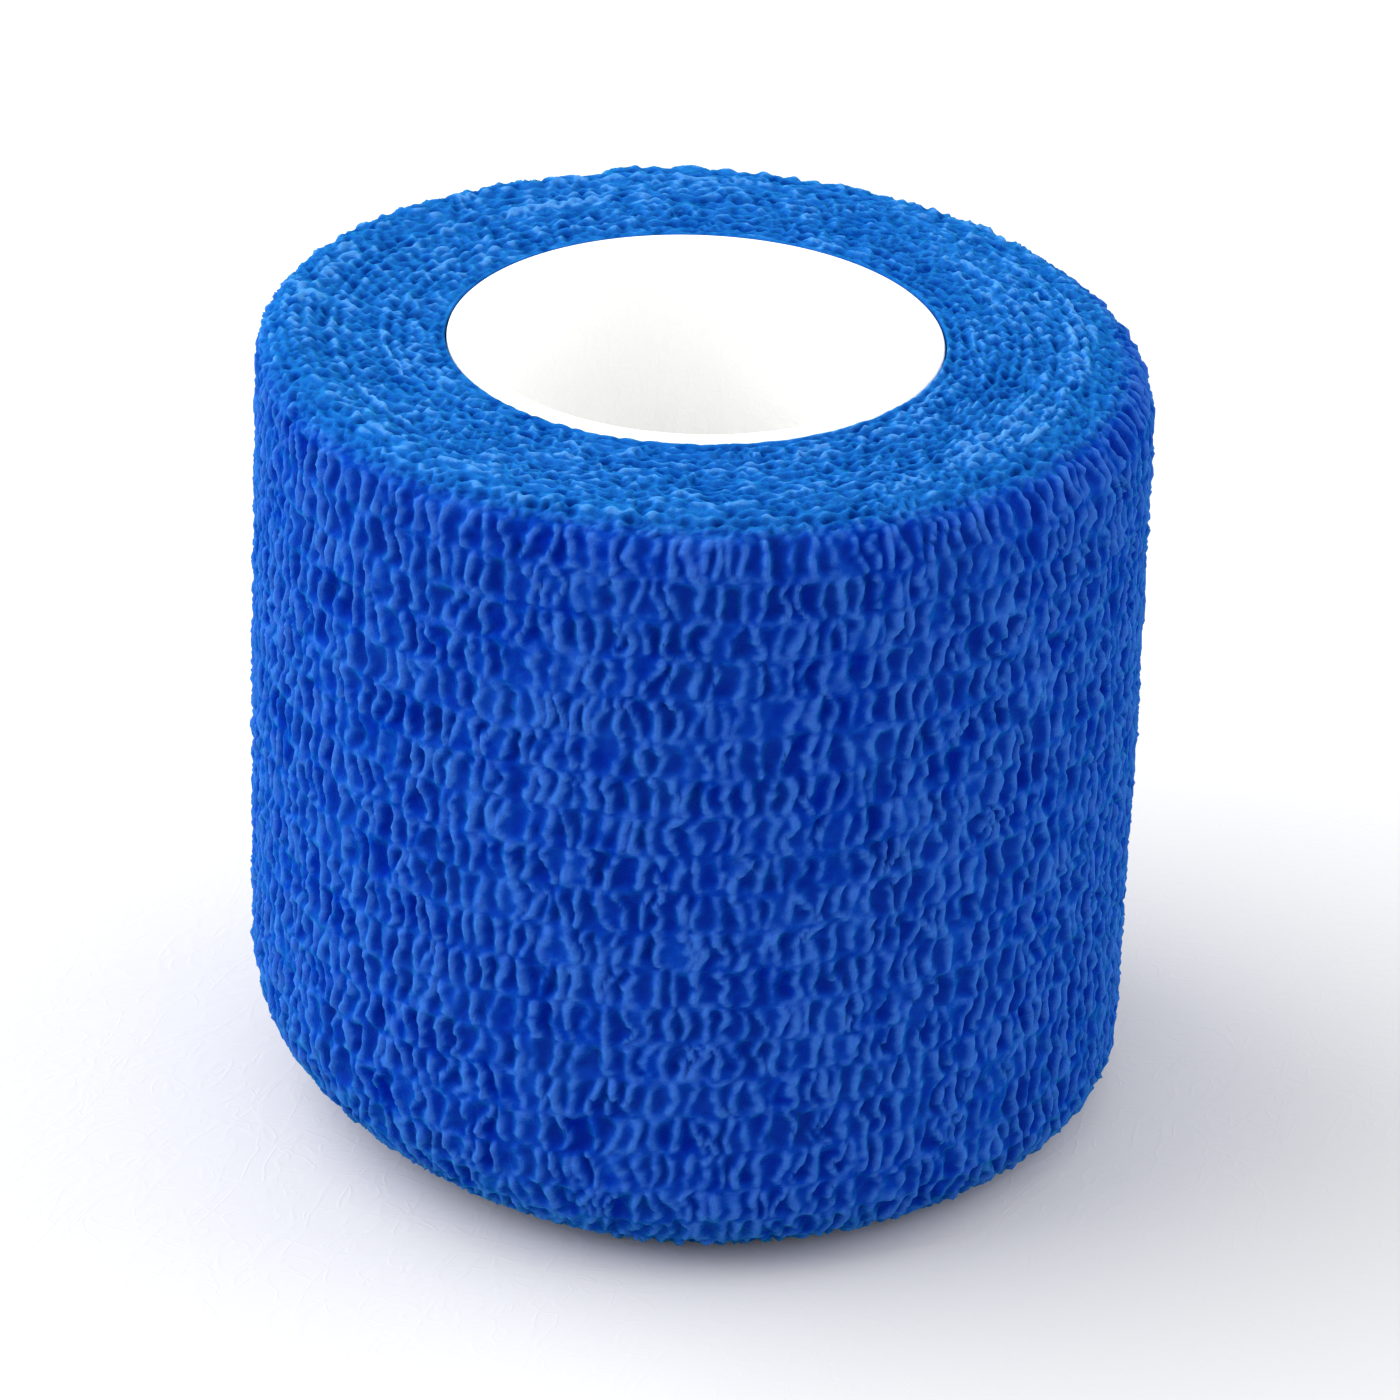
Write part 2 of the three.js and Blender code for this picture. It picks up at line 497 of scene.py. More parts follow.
    def relief(self, u: np.ndarray, v: np.ndarray) -> tuple[np.ndarray, np.ndarray]:
        """Work out the crinkle at places on the strip.

        Args:
            u: Along the strip, in metres.
            v: Across the strip, in metres from its lower edge.

        Returns:
            Height over the nominal surface in metres, and a share from 0 in the pits to 1 on the folds, which
            paints shade into the pits and a highlight onto the folds.
        """
        folds = self.folds()
        stir_u, stir_v = self.stir
        x = u + stir_u * self.calm.at(self.seed, u, v) * piled(self.swirls, self.seed, u, v)
        y = v + stir_v * piled(self.sags, self.seed, u, v)
        home = np.floor(y / self.row_pitch).astype(int)
        ridge, shoulder, pit, weight = (np.zeros(x.shape) for _ in range(4))
        for shift in (-1, 0, 1):
            t = y / self.row_pitch - (home + shift)
            row = np.clip(home + shift, 0, self.row_count - 1)
            inward = np.minimum(t, 1 - t)
            window = smooth_step(*self.overrun, inward)
            course = np.clip(t, -self.trail, 1 + self.trail)
            row_ridge, row_shoulder, row_pit = self.row_relief(folds, x, row, course)
            ridge = np.maximum(ridge, window * row_ridge)
            shoulder = np.maximum(shoulder, window * row_shoulder)
            part = smooth_step(-self.blur, self.blur, inward)
            pit, weight = pit + part * row_pit, weight + part
        t = y / self.row_pitch - home
        thread_distance = np.minimum(t, 1 - t) * self.row_pitch
        web_height, web_width = self.web
        web = self.web_swell.at(self.seed, u, v) * np.exp(-((thread_distance / web_width) ** 2))
        most_bridged, low, high = self.bridged
        bridge = most_bridged * smooth_step(low, high, self.bridge.at(self.seed, u, v))
        sunk = pit / weight * (1 - shoulder) * (1 - np.clip(web, 0, 1)) * (1 - bridge)
        raised = self.swell.at(self.seed, u, v) * np.maximum(ridge, web_height * web)
        height = self.crest * raised - self.depth * sunk + piled(self.dimples, self.seed, u, v)
        # Painted shade darkens the colour share in the pits; a painted highlight pales it on the folds.
        share = self.flush * (1 - np.clip(self.painted_pit_shade * sunk, 0, 1))
        share = share + (1 - self.flush) * np.clip(raised, 0, 1) ** self.painted_fold_highlight
        return height, np.clip(share + self.speckle.at(self.seed, u, v), 0.0, 1.0)

    def row_relief(
        self, folds: Folds, x: np.ndarray, row: np.ndarray, t: np.ndarray
    ) -> tuple[np.ndarray, np.ndarray, np.ndarray]:
        """Look at the folds of one row of cells near each place.

        Args:
            folds: Every row's folds.
            x: Along the strip, in metres.
            row: The row of cells looked at.
            t: 0 at that row's lower thread to 1 at its upper one.

        Returns:
            Height of the folds and of their shoulders as shares of the full ones, and the depth share of
            the cell that holds the place.
        """
        count = folds.along.shape[1]
        spot = np.empty(x.shape, dtype=int)
        for k in range(self.row_count):
            mine = row == k
            spot[mine] = np.searchsorted(folds.along[k], x[mine])
        ridge, shoulder = np.zeros(x.shape), np.zeros(x.shape)
        nearest, owner = np.full(x.shape, -1.0), np.zeros(x.shape, dtype=int)
        for step in (-2, -1, 0, 1):
            fold = np.clip(spot + step, 0, count - 1)
            place, rate = folds.centre(row, fold, t)
            slope = np.clip(rate / self.row_pitch, -self.steepest, self.steepest)
            away = (x - place) ** 2 / (1 + slope**2) / folds.width[row, fold] ** 2
            ridge = np.maximum(ridge, folds.strength[row, fold] * np.exp(-away))
            shoulder = np.maximum(shoulder, np.exp(-away / self.shoulder**2))
            mine = (place <= x) & (place > nearest)
            nearest, owner = np.where(mine, place, nearest), np.where(mine, fold, owner)
        return ridge, shoulder, folds.pit[row, owner]


@dataclass(frozen=True)
class Specks:
    """Small round spots scattered over an end face, one in each box of an uneven lattice.

    Attributes:
        bore_radius: Where the face starts.
        spacing: Distance from one circle of spots to the next.
        seed: Picks the spots.
        count: Spots in one circle.
        size: Half width of a spot along and across the turns.
        scatter: How far a spot strays along and across the turns, as a share of its box.
        strength: Faintest and strongest spot.
        circles: Circles of spots after which they repeat.
    """

    bore_radius: float
    spacing: float
    seed: int
    count: int = 116
    size: tuple[float, float] = (0.33 * MM, 0.3 * MM)
    scatter: tuple[float, float] = (0.7, 0.35)
    strength: tuple[float, float] = (0.1, 1.25)
    circles: int = 64

    def at(self, wound: np.ndarray, out: np.ndarray) -> np.ndarray:
        """Tell how far inside a spot places are.

        Args:
            wound: Share of a full circle from the strip's end.
            out: Distance from the bore, in metres.

        Returns:
            1 in the middle of a full spot to 0 away from all.
        """
        shape = (self.count, self.circles)
        rng = np.random.default_rng(self.seed)
        aside, above = (rng.uniform(-0.5, 0.5, shape) * share for share in self.scatter)
        strength = rng.uniform(*self.strength, shape)
        circle = np.floor(out / self.spacing).astype(int)
        deepest = np.zeros(np.shape(out))
        for ring in (circle - 1, circle, circle + 1):
            stagger = 0.5 * (ring % 2)
            box = np.floor(wound * self.count - stagger).astype(int)
            for near in (box - 1, box, box + 1):
                spot = near % self.count, ring % self.circles
                along = (wound * self.count - stagger - near - 0.5 - aside[spot]) / self.count
                along = along * 2 * math.pi * (self.bore_radius + out)
                across = out - (ring + 0.5 + above[spot]) * self.spacing
                away = (along / self.size[0]) ** 2 + (across / self.size[1]) ** 2
                deepest = np.maximum(deepest, strength[spot] * np.exp(-away))
        return np.minimum(deepest, 1.0)


@dataclass(frozen=True)
class EdgeTone:
    """How pale the cut edges are, as a share from 0 in the pits to 1 on the edges, with painted shade low
    down and in specks and painted highlights on high cloth and knots.

    Attributes:
        level: The share at the nominal face.
        height: Added for a height of one full depth, which paints a highlight on high cloth and shade on low
            cloth.
        highest: Height past which no more is added, in full depths.
        speck: Taken away in a dark speck, as painted shade in its dent.
        knot: Added on a bright knot, as a painted highlight.
        clump: Taken away in a clump.
        limits: The least and the most.
    """

    level: float = 0.82
    height: float = 0.3
    highest: float = 0.3
    speck: float = 0.75
    knot: float = 0.14
    clump: float = 0.1
    limits: tuple[float, float] = (0.1, 0.92)

    def mix(self, height: np.ndarray, speck: np.ndarray, knot: np.ndarray, clump: np.ndarray) -> np.ndarray:
        """Work the share out.

        Args:
            height: Height over the nominal face, in full depths.
            speck: How far inside a dark speck each place is.
            knot: How far inside a bright knot it is.
            clump: From -1 to 1 inside a clump.

        Returns:
            The share at each place.
        """
        # Painted shade by height and in the specks, painted highlight on the knots; the clumps are the
        # cloth's own uneven tone.
        share = self.level + self.height * np.clip(height, -1.0, self.highest) - self.speck * speck
        return np.clip(share + self.knot * knot - self.clump * clump, *self.limits)


@dataclass(frozen=True)
class Lace:
    """The crimped cut edges of the turns, side by side on an end face.

    Attributes:
        bore_radius: Where the first turn starts.
        pitch: Distance between two turns.
        calm: Size of the crimps at the bore as a share, and the turns over which they get their full size.
        wave: Length of one crimp along the edge.
        sway: How far an edge swings to each side.
        overtone: Share of a second swing at half that length, and how far it leads, in radians.
        width: Half width of an edge.
        steepest: Slope past which a swinging edge gets no wider.
        depth: How deep the gaps between the edges are.
        heaped: How much higher the cloth lies where two edges meet, as a share.
        dent: How deep the dark specks between the loops are; their darkness is painted shade.
        knot: How high the bright knots stand; their brightness is a painted highlight.
        specks: Step of the dark specks' seed, and distance from one circle of them to the next in pitches.
        knots: The same for the bright knots.
        crowding: How the crimps crowd together and spread out, in crimps.
        crimp: Size of the crimps, as a share.
        bounces: How far an edge goes up and down, in metres.
        fall: How far the cloth falls beside an edge, in full depths.
        clump: Where the specks are large and the cloth is darker.
        clumping: Mean share of a speck that shows, and how much clump adds.
        inner_end: Where the strip's inner end lies on the layers' lattice, in metres.
        tone: How pale the edges are.
        seed: Picks the pattern.
    """

    bore_radius: float
    pitch: float
    calm: tuple[float, float] = (0.25, 1.2)
    wave: float = 1.15 * MM
    sway: float = 0.2 * MM
    overtone: tuple[float, float] = (0.2, 1.0)
    width: float = 0.27 * MM
    steepest: float = 1.3
    depth: float = 0.4 * MM
    heaped: float = 0.25
    dent: float = 0.3 * MM
    knot: float = 0.12 * MM
    specks: tuple[int, float] = (8, 1.25)
    knots: tuple[int, float] = (9, 1.6)
    crowding: Ripple = Ripple(1, 0, 0.9, 2.6)
    crimp: Ripple = Ripple(2, 0.8, 0.5, 1.7)
    bounces: tuple[Ripple, ...] = (
        Ripple(3, 0, 0.15 * MM, 0.62),
        Ripple(4, 0, 0.09 * MM, 9),
        Ripple(5, 0, 0.09 * MM, 34),
    )
    fall: Ripple = Ripple(6, 0.92, 0.25, 0.8)
    clump: Ripple = Ripple(7, 0, 1, 0.62, 1.2)
    clumping: tuple[float, float] = (0.75, 0.5)
    inner_end: float = 0.1
    tone: EdgeTone = EdgeTone()
    seed: int = 23

    def edge(
        self, spiral: np.ndarray, turns_out: np.ndarray, size_here: np.ndarray
    ) -> tuple[np.ndarray, np.ndarray]:
        """Follow one turn's edge past places on the end face.

        Args:
            spiral: Turns that the edge has made by then.
            turns_out: Turns from the bore to the places.
            size_here: Size of the crimps there, as a share.

        Returns:
            Height of the cloth over the nominal face, and a share that is 1 along the edge's middle.
        """
        along = 2 * math.pi * self.bore_radius * spiral + math.pi * self.pitch * spiral**2 + self.inner_end
        phase = 2 * math.pi * (along / self.wave + self.crowding.at(self.seed, along))
        size = size_here * self.crimp.at(self.seed, along)
        share, lead = self.overtone
        swing = self.sway * size * (np.sin(phase) + share * np.sin(2 * phase + lead))
        rate = self.sway * size * np.cos(phase) * 2 * math.pi / self.wave
        aside = (turns_out - spiral) * self.pitch - swing
        slope = np.clip(rate, -self.steepest, self.steepest)
        ridge = np.exp(-((aside / self.width) ** 2) / (1 + slope**2))
        level = size_here * piled(self.bounces, self.seed, along)
        return level + self.depth * self.fall.at(self.seed, along) * (ridge - 1), ridge

    def relief(self, turns_out: np.ndarray, wound: np.ndarray) -> tuple[np.ndarray, np.ndarray]:
        """Work out the crimped edges' shape at places on the end face.

        Args:
            turns_out: Turns from the bore, with their fraction.
            wound: Share of a full circle from the strip's end.

        Returns:
            Height over the nominal face in metres, and a share from 0 in the pits to 1 on the edges, which
            paints shade into the gaps and specks and a highlight onto the edges and knots.
        """
        home = np.floor(turns_out - wound)
        least, calm_turns = self.calm
        size_here = least + (1 - least) * smooth_step(0.0, calm_turns, turns_out)
        height = np.full(np.shape(turns_out), -self.depth)
        for shift in (-1, 0, 1):
            edge, ridge = self.edge(home + shift + wound + 0.5, turns_out, size_here)
            lower = np.minimum(height, edge)
            height = np.maximum(height, edge) + self.heaped * (lower + self.depth) * ridge
        height = np.maximum(height, -self.depth * size_here)
        out = turns_out * self.pitch
        clump = self.clump.at(self.seed, 2 * math.pi * (self.bore_radius + out) * wound, out)
        speck, knot = (
            Specks(self.bore_radius, pitches * self.pitch, self.seed + step).at(wound, out)
            for step, pitches in (self.specks, self.knots)
        )
        mean_share, added = self.clumping
        speck = speck * (mean_share + added * clump)
        # The colour share carries painted shade and painted highlights.
        share = self.tone.mix(height / self.depth, speck, knot, clump)
        return height + size_here * (self.knot * knot - self.dent * speck), share


def grid_mesh(name: str, columns: int, rows: int) -> tuple[bpy.types.Mesh, np.ndarray, np.ndarray]:
    """Make a flat grid of quads to be laid over a surface.

    Args:
        name: The mesh's name.
        columns: Quads along the first axis.
        rows: Quads along the second axis.

    Returns:
        The mesh, and each vertex's column and row.
    """
    bm = bmesh.new()
    bmesh.ops.create_grid(bm, x_segments=columns, y_segments=rows, size=0.5)
    mesh = bpy.data.meshes.new(name)
    bm.to_mesh(mesh)
    bm.free()
    flat = np.empty(len(mesh.vertices) * 3)
    mesh.vertices.foreach_get("co", flat)
    flat = flat.reshape(-1, 3) + 0.5
    return mesh, np.rint(flat[:, 0] * columns).astype(int), np.rint(flat[:, 1] * rows).astype(int)


def lay_mesh(mesh: bpy.types.Mesh, points: np.ndarray, shares: np.ndarray, closed: bool) -> None:
    """Lay a grid over its surface, close its seams and shade it smooth.

    Args:
        mesh: The grid's mesh.
        points: A place for each vertex, in metres.
        shares: For each vertex, how high it lies and how far it is a turn's edge, read by the cloth's finish.
        closed: True if the surface closes on itself, so its faces can be turned outwards.
    """
    layer = mesh.attributes.new(RELIEF, "FLOAT_VECTOR", "POINT")
    vectors = np.column_stack([shares, np.zeros(len(shares))])
    layer.data.foreach_set("vector", vectors.astype(np.float32).ravel())
    mesh.vertices.foreach_set("co", points.ravel())
    bm = bmesh.new()
    bm.from_mesh(mesh)
    bmesh.ops.remove_doubles(bm, verts=bm.verts, dist=WELD)
    bmesh.ops.dissolve_degenerate(bm, edges=bm.edges, dist=WELD)
    if closed:
        bmesh.ops.recalc_face_normals(bm, faces=bm.faces)
    for face in bm.faces:
        face.smooth = True
    bm.to_mesh(mesh)
    bm.free()
    mesh.update()


def add_piece(
    mesh: bpy.types.Mesh, material: bpy.types.Material, replaced: str
) -> bpy.types.Object:
    """Put a finished mesh into the scene as a piece of the roll.

    Args:
        mesh: The mesh, whose name the piece takes.
        material: Its finish.
        replaced: The CAD node that it stands for.

    Returns:
        The new object.
    """
    piece = bpy.data.objects.new(mesh.name, mesh)
    bpy.context.scene.collection.objects.link(piece)
    mesh.materials.append(material)
    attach(piece, ROOT_BODY)
    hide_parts(replaced)
    LOG.info("%s: %d faces", piece.name, len(mesh.polygons))
    return piece


@dataclass
class NodeSketch:
    """Adds nodes to a shader tree and joins them up.

    Attributes:
        tree: The tree.
    """

    tree: bpy.types.NodeTree

    def add(self, kind: str, inputs: dict[str | int, Any], **settings: Any) -> bpy.types.Node:
        """Add one node.

        Args:
            kind: The node's type.
            inputs: For each input, a constant or the output that feeds it.
            **settings: Properties of the node itself.

        Returns:
            The new node.
        """
        node = self.tree.nodes.new(kind)
        for name, value in settings.items():
            setattr(node, name, value)
        self.feed(node, inputs)
        return node

    def feed(self, node: bpy.types.Node, inputs: dict[str | int, Any]) -> None:
        """Give a node its inputs.

        Args:
            node: The node.
            inputs: For each input, a constant or the output that feeds it.
        """
        for name, value in inputs.items():
            if isinstance(value, bpy.types.NodeSocket):
                self.tree.links.new(value, node.inputs[name])
            else:
                node.inputs[name].default_value = value

    def math(self, operation: str, first: Any, second: Any = 0.0) -> bpy.types.NodeSocket:
        """Work out one sum.

        Args:
            operation: What is done.
            first: The first number or the output that gives it.
            second: The second one, where the operation has two.

        Returns:
            The result.
        """
        return self.add("ShaderNodeMath", {0: first, 1: second}, operation=operation).outputs[0]

    def span(self, value: Any, given: tuple[float, float], wanted: tuple[float, float]) -> Any:
        """Map a value from one span to another.

        Args:
            value: The output to map.
            given: Start and end of its span.
            wanted: What they become.

        Returns:
            The mapped output.
        """
        ends = dict(zip(("From Min", "From Max", "To Min", "To Max"), given + wanted))
        return self.add("ShaderNodeMapRange", {"Value": value, **ends}).outputs["Result"]

    def blend(self, share: Any, first: Any, second: Any) -> bpy.types.NodeSocket:
        """Mix two colours.

        Args:
            share: How much of the second is used, as a number or an output.
            first: The first colour or the output that gives it.
            second: The second colour or the output that gives it.

        Returns:
            The mixed colour.
        """
        return self.add("ShaderNodeMix", {0: share, 6: first, 7: second}, data_type="RGBA").outputs[2]


@dataclass(frozen=True)
class SharedEffect:
    """A mask over a surface that several finishes use, as a shader node group that is built once.

    Attributes:
        name: The group's name.
    """

    name: str

    def wire(self, sketch: NodeSketch, where: bpy.types.NodeSocket, scale: bpy.types.NodeSocket) -> Any:
        """Wire the group's nodes.

        Args:
            sketch: The group's nodes.
            where: The output that gives the place.
            scale: The output that gives the fineness, per metre.

        Returns:
            The mask's output.
        """
        raise NotImplementedError

    def group(self) -> bpy.types.NodeTree:
        """Build the group, or find it if it is there.

        Returns:
            The group.
        """
        found = bpy.data.node_groups.get(self.name)
        if found:
            return found
        tree = bpy.data.node_groups.new(self.name, "ShaderNodeTree")
        tree.interface.new_socket("Vector", in_out="INPUT", socket_type="NodeSocketVector")
        tree.interface.new_socket("Scale", in_out="INPUT", socket_type="NodeSocketFloat")
        tree.interface.new_socket("Mask", in_out="OUTPUT", socket_type="NodeSocketFloat")
        sketch = NodeSketch(tree)
        where, scale = sketch.add("NodeGroupInput", {}).outputs[:2]
        sketch.add("NodeGroupOutput", {"Mask": self.wire(sketch, where, scale)})
        return tree

    def place(self, sketch: NodeSketch, where: bpy.types.NodeSocket, scale: float) -> bpy.types.NodeSocket:
        """Place the group in a material.

        Args:
            sketch: The material's nodes.
            where: The output that gives the place.
            scale: The fineness, per metre.

        Returns:
            The mask's output.
        """
        inputs = {"Vector": where, "Scale": scale}
        return sketch.add("ShaderNodeGroup", inputs, node_tree=self.group()).outputs["Mask"]


@dataclass(frozen=True)
class Fibres(SharedEffect):
    """Tangled fine fibres, where the mask is 1.

    Attributes:
        name: The group's name.
        turns: How far each tangle is turned, in radians.
        axis: What the tangles are turned about.
        stretch: How the noise behind a tangle is drawn out.
        width: Half width of a fibre, as a share of the noise's span.
        detail: How fine that noise goes.
        distortion: How far it is stirred.
    """

    name: str = "fine_fibres"
    turns: tuple[float, ...] = (0.6, 2.2, 4.1)
    axis: tuple[float, float, float] = (0.5, 0.6, 0.7)
    stretch: tuple[float, float, float] = (1.0, 0.28, 0.9)
    width: float = 0.045
    detail: float = 1.0
    distortion: float = 0.7

    def wire(self, sketch: NodeSketch, where: bpy.types.NodeSocket, scale: bpy.types.NodeSocket) -> Any:
        """Wire one tangle for each turn, with its fibres where a noise crosses its middle value.

        Args:
            sketch: The group's nodes.
            where: The output that gives the place.
            scale: The output that gives the fineness, per metre.

        Returns:
            The mask's output.
        """
        tangles = []
        for turn in self.turns:
            rotate = {"Vector": where, "Angle": turn, "Axis": self.axis}
            turned = sketch.add("ShaderNodeVectorRotate", rotate).outputs[0]
            stretched = {0: turned, 1: self.stretch}
            long = sketch.add("ShaderNodeVectorMath", stretched, operation="MULTIPLY").outputs[0]
            inputs = {"Vector": long, "Scale": scale, "Detail": self.detail, "Distortion": self.distortion}
            noise = sketch.add("ShaderNodeTexNoise", inputs).outputs["Fac"]
            away = sketch.math("ABSOLUTE", sketch.math("SUBTRACT", noise, 0.5))
            tangles.append(sketch.span(away, (0.0, self.width), (1.0, 0.0)))
        mask = tangles[0]
        for tangle in tangles[1:]:
            mask = sketch.math("MAXIMUM", mask, tangle)
        return mask


@dataclass(frozen=True)
class Mottle(SharedEffect):
    """Slow uneven patches.

    Attributes:
        name: The group's name.
        detail: How fine the noise goes.
        roughness: How strong its fine part is.
        ends: The noise's values that become 0 and 1.
    """

    name: str = "slow_mottle"
    detail: float = 3.0
    roughness: float = 0.55
    ends: tuple[float, float] = (0.3, 0.7)

    def wire(self, sketch: NodeSketch, where: bpy.types.NodeSocket, scale: bpy.types.NodeSocket) -> Any:
        """Wire one noise, spread over the mask's whole span."""
        inputs = {"Vector": where, "Scale": scale, "Detail": self.detail, "Roughness": self.roughness}
        return sketch.span(sketch.add("ShaderNodeTexNoise", inputs).outputs["Fac"], self.ends, WHOLE)


def new_material(name: str, inputs: dict[str, Any]) -> tuple[bpy.types.Material, NodeSketch, bpy.types.Node]:
    """Start a material with one Principled shader.

    Args:
        name: The material's name.
        inputs: The shader's inputs that are the same all over.

    Returns:
        The material, its nodes and the shader.
    """
    material = bpy.data.materials.new(name)
    material.use_nodes = True
    material.node_tree.nodes.clear()
    sketch = NodeSketch(material.node_tree)
    shader = sketch.add("ShaderNodeBsdfPrincipled", inputs)
    sketch.add("ShaderNodeOutputMaterial", {"Surface": shader.outputs[0]})
    return material, sketch, shader


@dataclass(frozen=True)
class Grain:
    """Fine fibres raised on a surface.

    Attributes:
        scale: Their fineness, per metre.
        height: Their height, in metres.
        strength: How strongly they show.
    """

    scale: float
    height: float
    strength: float

    def raise_on(self, sketch: NodeSketch, shader: bpy.types.Node, fibres: bpy.types.NodeSocket) -> None:
        """Feed the fibres' relief to a shader.

        Args:
            sketch: The material's nodes.
            shader: The material's shader.
            fibres: The fibres' mask.
        """
        inputs = {"Strength": self.strength, "Distance": self.height, "Height": fibres}
        bump = sketch.add("ShaderNodeBump", inputs)
        sketch.feed(shader, {"Normal": bump.outputs["Normal"]})


@dataclass(frozen=True)
class ClothFinish:
    """Matte crinkled non-woven, darker in its pits with painted shade and paler along its folds and its cut
    edges with painted highlights.

    Attributes:
        name: The material's name.
        folds: Colours of the crinkled face, each at its height from 0 deep down to 1 on the folds; the deep
            ones are painted shade and the highest a painted highlight.
        edges: Colours of the turns' cut edges, likewise, with painted shade in the gaps and a painted
            highlight on the edges and the pale streaks.
        fibre: Colour of the fibres that catch the light.
        fibre_share: How far they show on the highest cloth, as a painted highlight.
        fibre_heights: Where they start to show and where they show most.
        grain: Their relief.
        patch_scale: Fineness of the patches, per metre.
        patch_share: How far the patches show.
        roughness: Roughness on the fibres and between them.
        specular: The shader's specular level.
        fuzz: Weight, roughness and colour of the fuzz that brightens the cloth seen from the side.
    """

    name: str = "bandage_cloth"
    folds: tuple[tuple[float, Colour], ...] = (
        (0.08, (0.0, 0.01, 0.28, 1.0)),
        (0.45, (0.0, 0.028, 0.35, 1.0)),
        (0.97, (0.03, 0.105, 0.51, 1.0)),
    )
    edges: tuple[tuple[float, Colour], ...] = (
        (0.1, (0.0, 0.02, 0.23, 1.0)),
        (0.5, (0.0, 0.05, 0.31, 1.0)),
        (0.8, (0.006, 0.11, 0.455, 1.0)),
        (1.0, (0.1, 0.32, 0.75, 1.0)),
    )
    fibre: Colour = (0.03, 0.2, 0.6, 1.0)
    fibre_share: float = 0.3
    fibre_heights: tuple[float, float] = (0.3, 1.0)
    grain: Grain = Grain(scale=1900.0, height=0.06 * MM, strength=0.5)
    patch_scale: float = 260.0
    patch_share: float = 0.12
    roughness: tuple[float, float] = (0.72, 0.9)
    specular: float = 0.01
    fuzz: tuple[float, float, Colour] = (0.19, 0.4, (0.0, 1.0, 0.4, 1.0))

    def ramp(self, sketch: NodeSketch, height: Any, colours: tuple[tuple[float, Colour], ...]) -> Any:
        """Colour a height.

        Args:
            sketch: The material's nodes.
            height: The output that gives the height, from 0 to 1.
            colours: The colours, each at its height.

        Returns:
            The colour's output.
        """
        node = sketch.add("ShaderNodeValToRGB", {"Fac": height})
        elements = node.color_ramp.elements
        for element, (position, colour) in zip(elements, (colours[0], colours[-1])):
            element.position, element.color = position, colour
        for position, colour in colours[1:-1]:
            elements.new(position).color = colour
        return node.outputs["Color"]

    def build(self) -> bpy.types.Material:
        """Make the material, coloured by the relief that each piece stores on its vertices.

        Returns:
            The material.
        """
        constants = dict(zip(("Sheen Weight", "Sheen Roughness", "Sheen Tint"), self.fuzz))
        material, sketch, shader = new_material(self.name, {"Specular IOR Level": self.specular, **constants})
        where = sketch.add("ShaderNodeTexCoord", {}).outputs["Object"]
        stored = sketch.add("ShaderNodeAttribute", {}, attribute_name=RELIEF).outputs["Vector"]
        height, edge, _ = sketch.add("ShaderNodeSeparateXYZ", {"Vector": stored}).outputs
        fibres = Fibres().place(sketch, where, self.grain.scale)
        patches = Mottle().place(sketch, where, self.patch_scale)
        # The stored share paints shade into the pits and gaps and a highlight onto the folds and edges.
        face, cut = (self.ramp(sketch, height, colours) for colours in (self.folds, self.edges))
        cloth = sketch.blend(edge, face, cut)
        patched = sketch.blend(sketch.span(patches, WHOLE, (0.0, self.patch_share)), cloth, self.fibre)
        # Fibres pale the highest cloth most, as a painted highlight.
        fibre_highlight = sketch.span(height, self.fibre_heights, (0.0, self.fibre_share))
        colour = sketch.blend(sketch.math("MULTIPLY", fibres, fibre_highlight), patched, self.fibre)
        on_fibres, between = self.roughness
        rough = sketch.span(fibres, WHOLE, (between, on_fibres))
        sketch.feed(shader, {"Base Color": colour, "Roughness": rough})
        self.grain.raise_on(sketch, shader, fibres)
        return material


@dataclass(frozen=True)
class PaleFinish:
    """A pale matte finish with slow patches and a fine grain, for the tube and the floor.

    Attributes:
        name: The material's name.
        light: Its lighter colour.
        dark: Its darker colour.
        roughness: Least and most roughness.
        patch_scale: Fineness of the patches, per metre.
        grain: Its grain.
        specular: The shader's specular level.
    """

    name: str
    light: Colour
    dark: Colour
    roughness: tuple[float, float]
    patch_scale: float
    grain: Grain
    specular: float = 0.3

    def build(self) -> bpy.types.Material:
        """Make the material.

        Returns:
            The material.
        """
        material, sketch, shader = new_material(self.name, {"Specular IOR Level": self.specular})
        where = sketch.add("ShaderNodeTexCoord", {}).outputs["Object"]
        patches = Mottle().place(sketch, where, self.patch_scale)
        fibres = Fibres().place(sketch, where, self.grain.scale)
        colour = sketch.blend(patches, self.light, self.dark)
        sketch.feed(shader, {"Base Color": colour, "Roughness": sketch.span(patches, WHOLE, self.roughness)})
        self.grain.raise_on(sketch, shader, fibres)
        return material


@dataclass(frozen=True)
class EdgeArc:
    """A stretch of one turn's edge that stands out on the top, raised and paled with a painted highlight.

    Attributes:
        start: Azimuth where it starts, in degrees.
        end: Azimuth where it ends.
        start_radius: Its radius there, in metres.
        end_radius: Its radius at the end.
    """

    start: float
    end: float
    start_radius: float
    end_radius: float


